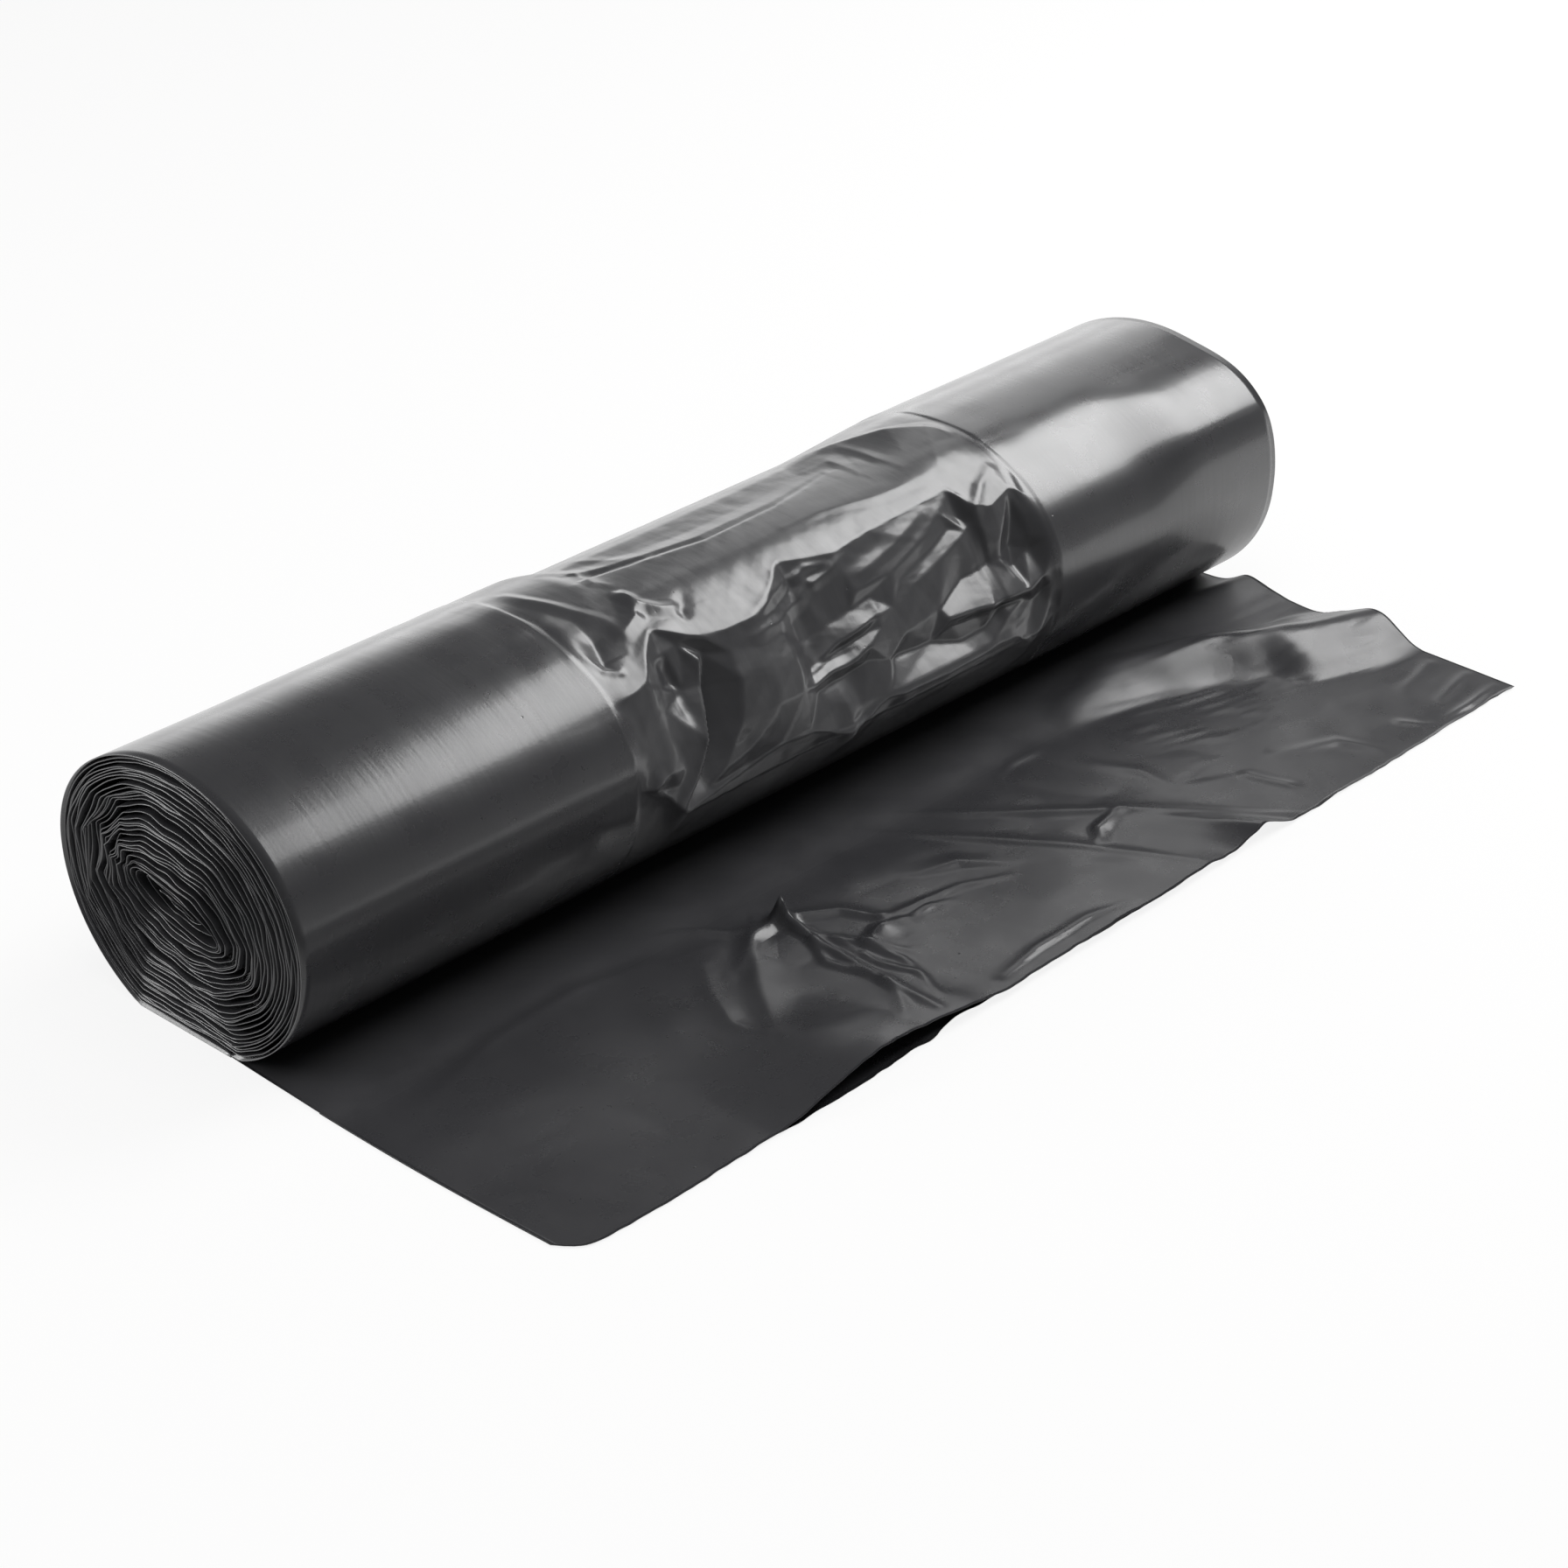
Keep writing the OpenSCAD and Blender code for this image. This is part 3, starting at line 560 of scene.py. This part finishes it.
def grid_quads(rows, columns, start=0, wrap=False, flip=False):
    """Faces of a grid of points that are numbered row by row."""
    r = np.arange(rows if wrap else rows - 1)
    c = np.arange(columns - 1)
    r, c = (g.ravel() for g in np.meshgrid(r, c, indexing="ij"))
    n = (r + 1) % rows
    q = np.stack([r * columns + c, r * columns + c + 1, n * columns + c + 1, n * columns + c], 1)
    return (q[:, ::-1] if flip else q) + start


def film_uv(x, s):
    """Coordinates along the film for its material, in metres, from the way along the roll and round it."""
    return np.stack([x.ravel() * MM, s.ravel() * MM], 1)


# The floor behind the edges of the turns, and how far in the first turn starts
RECESS_FLOOR = 14.0
SKIN_INSIDE = 0.3
# The fine turns: how thick they are, how many are crushed into the slit, and by how much
EDGE = 0.42
CORE_TURNS = 3.2
CRUSHED = 1.9
POINTS_PER_TURN = 150
# The skin has its points close together only where the film is creased
BESIDE_MIDDLE = 6.0
COLUMNS = (36, 280, 34)
ROWS = ((-NIP_ANGLE, 90, 32), (90, 162, 46), (162, 195, 36), (195, 292, 140), (292, 360 - NIP_ANGLE, 24))


def stepped(spans):
    """Places along spans that follow on each other. Each span is from, to and a number of places."""
    parts = [np.linspace(low, high, count, endpoint=False) for low, high, count in spans[:-1]]
    return np.concatenate(parts + [np.linspace(*spans[-1])])


def build_skin():
    """The outermost turn, closed at each end by a floor that lies behind the edges of the turns."""
    left, right = MIDDLE_LEFT - BESIDE_MIDDLE, MIDDLE_RIGHT + BESIDE_MIDDLE
    x_line = stepped(((-END_X, left, COLUMNS[0]), (left, right, COLUMNS[1]), (right, END_X, COLUMNS[2])))
    angles = stepped(ROWS)
    x, a = np.meshgrid(x_line, angles)
    base = wound(a)
    d = base - np.array([0.0, CENTRE_Z])
    d /= np.linalg.norm(d, axis=-1, keepdims=True)
    skin = base + d * skin_lift(x, a)[..., None]
    skin[..., 1] = np.clip(skin[..., 1], 0, None)
    points = [placed(x, skin).reshape(-1, 3)]
    uv = [film_uv(x, (a - 90) * SKIN_PER_DEGREE)]
    rows, columns = x.shape
    quads = [grid_quads(rows, columns, wrap=True)]
    start = rows * columns
    inner = wound(angles, SKIN_INSIDE)
    inner[:, 1] = np.clip(inner[:, 1], 0.12, None)
    middle_line = SLIT_CENTRE + (inner - SLIT_CENTRE) * 0.5
    for side, column in ((-1, 0), (1, columns - 1)):
        rim_x, wall_x = side * END_X, side * (END_X - RECESS_FLOOR)
        rings = [(rim_x, inner), (wall_x, inner), (wall_x, middle_line), (wall_x, SLIT_CENTRE + 0 * inner)]
        for place_x, ring in rings:
            points.append(placed(np.full(rows, place_x), ring))
            uv.append(film_uv(np.full(rows, place_x), (angles - 90) * SKIN_PER_DEGREE))
        index = [np.arange(rows) * columns + column]
        index += [start + k * rows + np.arange(rows) for k in range(len(rings))]
        for near, deep in zip(index[:-1], index[1:]):
            q = np.stack([near, deep, np.roll(deep, -1), np.roll(near, -1)], 1)
            quads.append(q[:, ::-1] if side < 0 else q)
        start += len(rings) * rows
    return piece("roll_skin", np.concatenate(points), np.concatenate(quads), np.concatenate(uv))


def build_turns(side, name, seed):
    """The edges of the wound web at one end, as one long strip of film on edge."""
    angles = np.arange(360 - NIP_ANGLE, 360 * (FINE_TURNS + CORE_TURNS), 360 / POINTS_PER_TURN)
    turn = angles / 360
    t = inward(np.minimum(angles, 360 * FINE_TURNS))
    in_core = ramp(turn, FINE_TURNS - 0.3, FINE_TURNS + 0.5)

    def web(inset):
        """The web, wound on in crumpled turns inside the slit."""
        p = wound(np.minimum(angles, 360 * FINE_TURNS), inset)
        deep = share(turn, FINE_TURNS, FINE_TURNS + CORE_TURNS) * 0.75
        inner = SLIT_CENTRE + (slit_outline(angles) - SLIT_CENTRE) * (1 - deep)[:, None]
        sideways = noise(turn * 3.3, turn * 1.1, seed + 8)
        upwards = noise(turn * 4.1, turn * 1.3, seed + 9)
        crumple = np.stack([sideways, upwards], 1)
        d = inner - SLIT_CENTRE
        d /= np.linalg.norm(d, axis=1, keepdims=True)
        inner += crumple * (CRUSHED * in_core)[:, None] - d * np.asarray(inset).reshape(-1, 1)
        return np.where((turn > FINE_TURNS)[:, None], inner, p)

    # the outermost turn is even, and the ones inside it lie back and lean unevenly
    even = web(0.0)
    s = np.cumsum(np.linalg.norm(np.diff(even, axis=0, prepend=even[:1]), axis=1))
    free = ramp(angles, 380, 620)
    weave = noise(s / 41, turn * 1.37, seed) + 0.5 * noise(s / 11, turn * 2.9, seed + 1)
    sunk = bump((t - 0.36) / 0.14) * bump((np.mod(angles, 360) - 150) / 110) * 2.6
    recess = CORE_RECESS * t**1.3 + sunk + 1.15 * weave * free + 2.0 * in_core
    recess = np.clip(recess + 0.6 * ramp(angles, 350, 420), 0.05, None)
    recess += 0.05 - 0.05 * ramp(angles, 340, 420)
    lean = (0.5 * noise(s / 27, turn * 1.9, seed + 2) + 0.2 * noise(s / 8, turn * 3.1, seed + 3)) * free
    # across the strip: depth under its edge, share of the lean, and side of the film
    rows = []
    for depth, outward, thick in (
        (RECESS_FLOOR + 1.5, 0.0, 0), (7.0, 0.2, 0), (2.5, 0.7, 0), (0.25, 1.0, 0), (0.0, 1.0, 0.3),
        (0.0, 1.0, 0.7), (0.25, 1.0, 1), (2.5, 0.7, 1), (7.0, 0.2, 1), (RECESS_FLOOR + 1.5, 0.0, 1),
    ):
        p = web(lean * outward + EDGE * thick + 0.32)
        p[:, 1] = np.clip(p[:, 1], 0.3, None)
        x = side * (END_X - np.where(depth > RECESS_FLOOR, depth, recess + depth))
        rows.append(placed(x, p))
    points = np.concatenate(rows)
    columns, count = len(angles), len(rows)
    quads = grid_quads(count, columns, wrap=True, flip=side < 0)
    first, last = np.arange(count) * columns, np.arange(count) * columns + columns - 1
    half = count // 2 - 1
    caps = [[e[k], e[k + 1], e[count - 2 - k], e[count - 1 - k]] for e in (first, last) for k in range(half)]
    caps = np.array([c if k < half else c[::-1] for k, c in enumerate(caps)])
    caps = caps[:, ::-1] if side < 0 else caps
    across = np.repeat(np.arange(float(count)), columns)
    uv = film_uv(across, np.tile(s, count))
    return piece(name, points, np.concatenate([quads, caps]), uv)


def build_ply(name, height, front, columns, rows, back):
    """One ply of the free sheet, from its front edge to y = back."""
    x_line = np.linspace(-END_X, END_X, columns)
    v = np.linspace(0, 1, rows)
    x0, v = np.meshgrid(x_line, v)
    y = front(x0) * (1 - v) + back * v
    bow = EDGE_BOW * (x0 / END_X) ** 3 * np.sin(np.pi * share(y, -SHEET_REACH, -19))
    x = x0 + bow
    low, high = height(x0, y)
    top = np.stack([x, y, high], -1).reshape(-1, 3)
    bottom = np.stack([x, y, low], -1).reshape(-1, 3)
    count = rows * columns
    quads = [grid_quads(rows, columns), grid_quads(rows, columns, count, flip=True)]
    r, c = np.arange(rows), np.arange(columns)
    right_side, back_side = r[1:] * columns + columns - 1, (rows - 1) * columns + c[::-1][1:]
    rim = np.concatenate([c, right_side, back_side, r[::-1][1:-1] * columns])
    quads.append(np.stack([rim, rim + count, np.roll(rim, -1) + count, np.roll(rim, -1)], 1)[:, ::-1])
    uv = np.tile(film_uv(x, y), (2, 1))
    return piece(name, np.concatenate([top, bottom]) * MM, np.concatenate(quads), uv)


def upper_front(x):
    """y of the front edge of the upper ply, with its left corner cut off."""
    corner = 9 * share(np.abs(x), END_X - 16, END_X) ** 3 * (x < 0)
    return -SHEET_REACH + 0.7 * noise_line(x / 21, 0.5, 51) + 0.3 * noise_line(x / 5, 0.5, 52) + 0.8 + corner


def lower_front(x):
    """y of the front edge of the lower ply, which is jagged under the mouth."""
    jag = 1.5 * bump((x + 70) / 9) - 1.2 * bump((x + 82) / 6)
    return np.clip(upper_front(x) + 0.5 + jag + 0.6 * noise_line(x / 13, 7.5, 53), -SHEET_REACH, None)


def upper_height(x, y):
    """Heights of the underside and the top of the upper ply."""
    rise = sheet_rise(x, y)
    low = np.clip(rise + sheet_creases(x, y) + 0.35, 0.28, None) + mouth_lift(x, y)
    thin = ramp(y, -20, -45)
    low = 0.3 + (low - 0.3) * thin
    return low, low + FILM


def lower_height(x, y):
    """Heights of the underside and the top of the lower ply."""
    low = sheet_rise(x, y) * 0.98
    return low, low + FILM - 0.03


# Materials


class Tree:
    """Short calls that add nodes to a node tree. A value is a number or the output of a node."""

    def __init__(self, tree):
        self.nodes, self.links = tree.nodes, tree.links

    def feed(self, socket, value):
        if isinstance(value, bpy.types.NodeSocket):
            self.links.new(value, socket)
        else:
            socket.default_value = value

    def add(self, kind, **values):
        node = self.nodes.new(kind)
        for key, value in values.items():
            if key in node.inputs:
                self.feed(node.inputs[key], value)
            else:
                setattr(node, key, value)
        return node

    def maths(self, operation, a, b):
        node = self.add("ShaderNodeMath", operation=operation)
        self.feed(node.inputs[0], a)
        self.feed(node.inputs[1], b)
        return node.outputs["Value"]

    def mapped(self, value, low, high, to_low=0.0, to_high=1.0, way="SMOOTHSTEP"):
        node = self.add("ShaderNodeMapRange", interpolation_type=way)
        self.feed(node.inputs["Value"], value)
        for key, number in zip(("From Min", "From Max", "To Min", "To Max"), (low, high, to_low, to_high)):
            self.feed(node.inputs[key], number)
        return node.outputs["Result"]


FILM_IOR = 1.55
COAT_ROUGHNESS = 0.17
DARK, LIGHT = (0.032, 0.032, 0.035, 1), (0.039, 0.039, 0.042, 1)


def film_material(name, gloss, streak, across, axis, spans, duller, coat, crinkle):
    """Glossy black film. streak is how strong the fine lines along the web are, and across turns them.

    Each of the spans, in millimetres along the axis, is where it turns from glossy to dull. duller is how
    many times rougher it is there, coat is its coat's roughness, and crinkle is how strong its fine
    crinkles are.
    """
    material = bpy.data.materials.new(name)
    material.use_nodes = True
    tree = Tree(material.node_tree)
    shader = tree.nodes["Principled BSDF"]
    shader.inputs["IOR"].default_value = FILM_IOR
    shader.inputs["Coat Weight"].default_value = gloss
    shader.inputs["Coat IOR"].default_value = FILM_IOR
    coordinates = tree.add("ShaderNodeUVMap", uv_map="film").outputs["UV"]

    def textured(kind, scale=(1, 1, 1), **values):
        mapping = tree.add("ShaderNodeMapping", Scale=scale, Vector=coordinates)
        return tree.add(kind, Vector=mapping.outputs["Vector"], **values)

    # colour: near black, with broad soft changes
    tone = textured("ShaderNodeTexNoise", Scale=28, Detail=3)
    colour = tree.add("ShaderNodeValToRGB", Fac=tone.outputs["Fac"])
    for stop, position, shade in zip(colour.color_ramp.elements, (0.3, 0.75), (DARK, LIGHT)):
        stop.position = position
        stop.color = shade
    tree.feed(shader.inputs["Base Color"], colour.outputs["Color"])

    # roughness: duller and glossier patches
    patches = textured("ShaderNodeTexNoise", Scale=60, Detail=5, Roughness=0.6)
    rough = tree.mapped(patches.outputs["Fac"], 0.3, 0.7, 0.24, 0.34, "LINEAR")
    split = tree.add("ShaderNodeSeparateXYZ", Vector=coordinates)
    dull = 1.0
    for glossy, loose in spans:
        dull = tree.maths("MULTIPLY", dull, tree.mapped(split.outputs[axis], glossy * MM, loose * MM))
    rough = tree.maths("MULTIPLY", rough, tree.mapped(dull, 0, 1, 1.0, duller))
    tree.feed(shader.inputs["Roughness"], rough)
    tree.feed(shader.inputs["Coat Roughness"], tree.mapped(dull, 0, 1, COAT_ROUGHNESS, coat))

    # relief: fine lines along the web, a soft grain, sparse specks, and crinkles in the loose middle
    lines = textured("ShaderNodeTexNoise", (1, 0.06, 1) if across else (0.06, 1, 1), Scale=420, Detail=2)
    grain = textured("ShaderNodeTexNoise", Scale=900, Detail=2)
    specks = textured("ShaderNodeTexVoronoi", Scale=75)
    speck = tree.mapped(specks.outputs["Distance"], 0.0, 0.035, 1.0, 0.0, "LINEAR")
    reliefs = [
        (lines.outputs["Fac"], 0.00010, streak), (grain.outputs["Fac"], 0.00003, 0.5), (speck, 0.00012, 0.8),
    ]
    if crinkle:
        ridges = textured("ShaderNodeTexNoise", Scale=110, Detail=3, noise_type="RIDGED_MULTIFRACTAL")
        reliefs.append((ridges.outputs["Fac"], 0.00020, tree.mapped(dull, 0, 1, 0.0, crinkle)))
    normal = None
    for height, distance, strength in reliefs:
        relief = tree.add("ShaderNodeBump", Distance=distance, Strength=strength, Height=height)
        if normal is not None:
            tree.feed(relief.inputs["Normal"], normal)
        normal = relief.outputs["Normal"]
    tree.feed(shader.inputs["Normal"], normal)
    tree.feed(shader.inputs["Coat Normal"], normal)
    return material


# Camera, light and floor


CAMERA_PLACE = (-0.7627, -0.7359, 0.5737)
CAMERA_YAW, CAMERA_PITCH = math.radians(47.094), math.radians(28.752)
CAMERA_LENS, CAMERA_SENSOR = 82.3, 36


def build_camera():
    camera = bpy.data.cameras.new("camera")
    camera.lens = CAMERA_LENS
    camera.sensor_width = CAMERA_SENSOR
    camera.clip_end = 50
    made = bpy.data.objects.new("camera", camera)
    level = math.cos(CAMERA_PITCH)
    forward = Vector((math.sin(CAMERA_YAW) * level, math.cos(CAMERA_YAW) * level, -math.sin(CAMERA_PITCH)))
    made.location = CAMERA_PLACE
    made.rotation_euler = forward.to_track_quat("-Z", "Y").to_euler()
    bpy.context.scene.collection.objects.link(made)
    bpy.context.scene.camera = made


def softbox(name, centre, across, up, radiance, glossy=True):
    """A rectangle of light. across and up are its two edges; it shines away from their cross product."""
    lamp = bpy.data.lights.new(name, "AREA")
    lamp.shape = "RECTANGLE"
    across, up = Vector(across), Vector(up)
    lamp.size, lamp.size_y = across.length, up.length
    lamp.energy = radiance * math.pi * lamp.size * lamp.size_y
    made = bpy.data.objects.new(name, lamp)
    x = across.normalized()
    z = x.cross(up).normalized()
    y = z.cross(x)
    made.matrix_world = Matrix((
        (x.x, y.x, z.x, centre[0]), (x.y, y.y, z.y, centre[1]), (x.z, y.z, z.z, centre[2]), (0, 0, 0, 1),
    ))
    made.visible_glossy = glossy
    bpy.context.scene.collection.objects.link(made)


def build_world():
    """White to the camera. Other rays see a dim studio that is bright low down behind the object."""
    world = bpy.data.worlds.new("studio")
    bpy.context.scene.world = world
    world.use_nodes = True
    tree = Tree(world.node_tree)
    tree.nodes.clear()
    place = tree.add("ShaderNodeTexCoord").outputs["Generated"]
    x, y, z = tree.add("ShaderNodeSeparateXYZ", Vector=place).outputs
    low_down = tree.mapped(z, 0.46, 0.04)
    behind = tree.mapped(y, 0.10, 0.50)
    beyond = tree.mapped(x, 0.44, 0.60)
    far_right = tree.mapped(x, 0.64, 0.80)
    bright = tree.maths("ADD", tree.maths("MULTIPLY", beyond, 1.2), tree.maths("MULTIPLY", far_right, -0.7))
    bright = tree.maths("ADD", bright, 0.95)
    backdrop = tree.maths("MULTIPLY", tree.maths("MULTIPLY", low_down, behind), bright)
    # a dim wall in front, on the right
    in_front = tree.maths("MULTIPLY", tree.mapped(z, 0.42, 0.05), tree.mapped(y, -0.3, -0.55))
    wall = tree.maths("MULTIPLY", tree.maths("MULTIPLY", in_front, tree.mapped(x, 0.0, 0.4)), 0.26)
    strength = tree.maths("ADD", tree.maths("ADD", backdrop, wall), 0.12)
    dim = tree.add("ShaderNodeBackground", Strength=strength)
    white = tree.add("ShaderNodeBackground", Strength=1.0)
    path = tree.add("ShaderNodeLightPath")
    mix = tree.add("ShaderNodeMixShader", Fac=path.outputs["Is Camera Ray"])
    tree.feed(mix.inputs[1], dim.outputs["Background"])
    tree.feed(mix.inputs[2], white.outputs["Background"])
    tree.add("ShaderNodeOutputWorld", Surface=mix.outputs["Shader"])


def build_floor():
    mesh = bpy.data.meshes.new("floor")
    mesh.from_pydata([(-4, -4, 0), (4, -4, 0), (4, 4, 0), (-4, 4, 0)], [], [(0, 1, 2, 3)])
    floor = bpy.data.objects.new("floor", mesh)
    # just under the lowest film, so that the two don't coincide
    floor.location.z = -0.3 * MM
    bpy.context.scene.collection.objects.link(floor)
    material = bpy.data.materials.new("floor_white")
    material.use_nodes = True
    tree = Tree(material.node_tree)
    tree.nodes.clear()
    path = tree.add("ShaderNodeLightPath").outputs
    place = tree.add("ShaderNodeTexCoord").outputs["Object"]
    x, y, _ = tree.add("ShaderNodeSeparateXYZ", Vector=place).outputs
    # in reflections the floor is bright behind the object and to its right, and dim in front
    behind = tree.mapped(y, -0.30, 0.15, 0.06, 1.0, "LINEAR")
    beside = tree.mapped(x, 0.18, 0.28, 0.0, 1.0, "LINEAR")
    reflected = tree.maths("MULTIPLY", path["Is Glossy Ray"], tree.maths("MAXIMUM", behind, beside))
    glow = tree.add("ShaderNodeEmission", Strength=tree.maths("ADD", reflected, path["Is Camera Ray"]))
    # the camera also sees some of the paint, which keeps the object's shadow
    in_view = tree.maths("MULTIPLY", path["Is Camera Ray"], 0.86)
    paint = tree.add("ShaderNodeBsdfDiffuse", Color=(0.9, 0.895, 0.89, 1))
    mix = tree.add("ShaderNodeMixShader", Fac=tree.maths("ADD", path["Is Glossy Ray"], in_view))
    tree.feed(mix.inputs[1], paint.outputs["BSDF"])
    tree.feed(mix.inputs[2], glow.outputs["Emission"])
    tree.add("ShaderNodeOutputMaterial", Surface=mix.outputs["Shader"])
    floor.data.materials.append(material)


# The scene

build_camera()
build_world()
build_floor()
# The main light is made of strips side by side, taller and brighter to the right. Each strip is its start,
# end, height and radiance.
key_corner = Vector((0.50, -0.68, 0.95))
key_across, key_up = Vector((0.96, 0.045, -0.279)), Vector((0, 0.883, 0.468))
key_strips = (
    (-0.12, 0.03, 0.40, 3.1), (0.03, 0.10, 0.55, 4.0), (0.10, 0.20, 0.68, 4.8),
    (0.20, 0.35, 0.80, 5.2), (0.35, 0.50, 0.95, 5.6), (0.50, 0.95, 1.08, 5.9),
)
for number, (start, end, height, radiance) in enumerate(key_strips, 1):
    centre = key_corner + key_across * (start + end) / 2 + key_up * height / 2
    softbox(f"key_{number}", centre, key_across * (end - start), key_up * height, radiance)
softbox("side", (1.186, 0.825, 0.786), (-0.28, 0.288, 0.12), (-0.1375, -0.45, 0.7625), 1.05)
softbox("left", (-1.15, 0.85, 0.40), (-0.55, -0.62, 0.0), (0.14, -0.12, 0.7), 6.0)
softbox("fill", (-0.2, -0.4, 1.6), (1.2, 0.0, 0.0), (0.0, 1.1, -0.3), 2.9, glossy=False)

wound_film = film_material(
    "wound_film", gloss=0.8, streak=0.35, across=True, axis="X",
    spans=((MIDDLE_LEFT, MIDDLE_LEFT + 8), (MIDDLE_RIGHT, MIDDLE_RIGHT - 8)), duller=1.3, coat=0.20,
    crinkle=0.5,
)
sheet_film = film_material(
    "sheet_film", gloss=0.15, streak=0.12, across=False, axis="Y",
    spans=((-80, -58),), duller=1.9, coat=0.40, crinkle=0.0,
)

skin = build_skin()
left_turns = build_turns(-1, "turns_left", 61)
right_turns = build_turns(1, "turns_right", 71)
lower_ply = build_ply("sheet_lower_ply", lower_height, lower_front, 240, 60, -60.0)
upper_ply = build_ply("sheet_upper_ply", upper_height, upper_front, 380, 118, -18.5)

for made, material in (
    (skin, wound_film), (left_turns, wound_film), (right_turns, wound_film),
    (lower_ply, sheet_film), (upper_ply, sheet_film),
):
    made.data.materials.append(material)
    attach(made, "root")
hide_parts(cad_node)

bpy.context.scene.view_settings.view_transform = "Standard"

bpy.context.view_layer.update()
